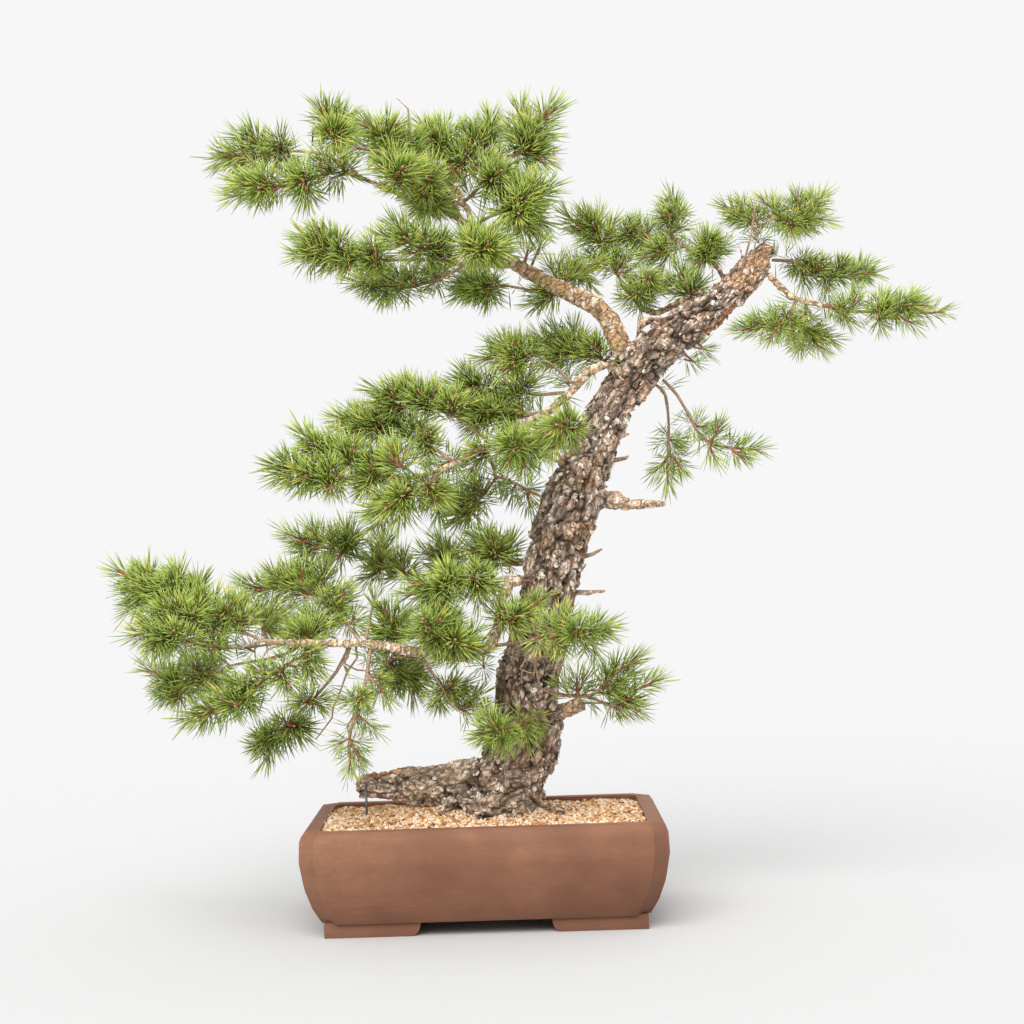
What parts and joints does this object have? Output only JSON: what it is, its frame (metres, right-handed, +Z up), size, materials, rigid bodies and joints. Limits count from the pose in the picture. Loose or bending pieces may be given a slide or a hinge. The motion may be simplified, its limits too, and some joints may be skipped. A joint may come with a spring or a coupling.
{
  "type": "scots pine bonsai",
  "caption": "Slanting scots pine bonsai with plated bark, needle sprays on spreading branches and a footed rectangular stoneware pot.",
  "frame": {"origin": "on the resting plane, under the middle of the whole tree's box", "axes": "+Z up; the tree is seen from the front along +Y, with its low branches towards -X and its top leaning towards +X"},
  "size_m": [1.294, 0.4646, 1.2603],
  "materials": {
    "stoneware": "matte",
    "soil": "matte",
    "bark": "matte",
    "steel": "satin",
    "needles": "matte"
  },
  "bodies": {
    "root": {"pot": "stoneware", "soil": "soil", "wood": "bark", "tie_peg": "steel", "spray_crown_left": "needles", "spray_crown_left_low": "needles", "spray_crown_left_tall": "needles", "spray_crown_tall": "needles", "spray_crown_front": "needles", "spray_crown_top": "needles", "spray_crown_right": "needles", "spray_crown_right_low": "needles", "spray_crown_middle": "needles", "spray_crown_behind": "needles", "spray_pad_left": "needles", "spray_pad_left_top": "needles", "spray_pad_left_under": "needles", "spray_pad_right_under": "needles", "spray_back_tall": "needles", "spray_back_high": "needles", "spray_back_middle": "needles", "spray_back_right": "needles", "spray_back_near": "needles", "spray_back_left": "needles", "spray_right_top": "needles", "spray_right_upper": "needles", "spray_right_tip": "needles", "spray_right_under": "needles", "spray_right_under_back": "needles", "spray_hanging_right": "needles", "spray_hanging_inner": "needles", "spray_mid_top_left": "needles", "spray_mid_top": "needles", "spray_mid_inner_left": "needles", "spray_mid_inner": "needles", "spray_mid_trunk_side": "needles", "spray_mid_fork": "needles", "spray_left_tip": "needles", "spray_left_upper": "needles", "spray_left_high": "needles", "spray_left_under": "needles", "spray_left_under_back": "needles", "spray_inner_left": "needles", "spray_inner_top": "needles", "spray_inner_low": "needles", "spray_low_tip": "needles", "spray_low_middle": "needles", "spray_low_back": "needles", "spray_low_under": "needles", "spray_low_under_front": "needles", "spray_low_hanging": "needles", "spray_low_rise": "needles", "spray_low_rise_left": "needles", "spray_low_inner": "needles", "spray_low_drop": "needles", "spray_low_long_drop": "needles", "spray_front_upper": "needles", "spray_front_rise": "needles", "spray_front_right": "needles", "spray_front_low": "needles"}
  },
  "joints": []
}
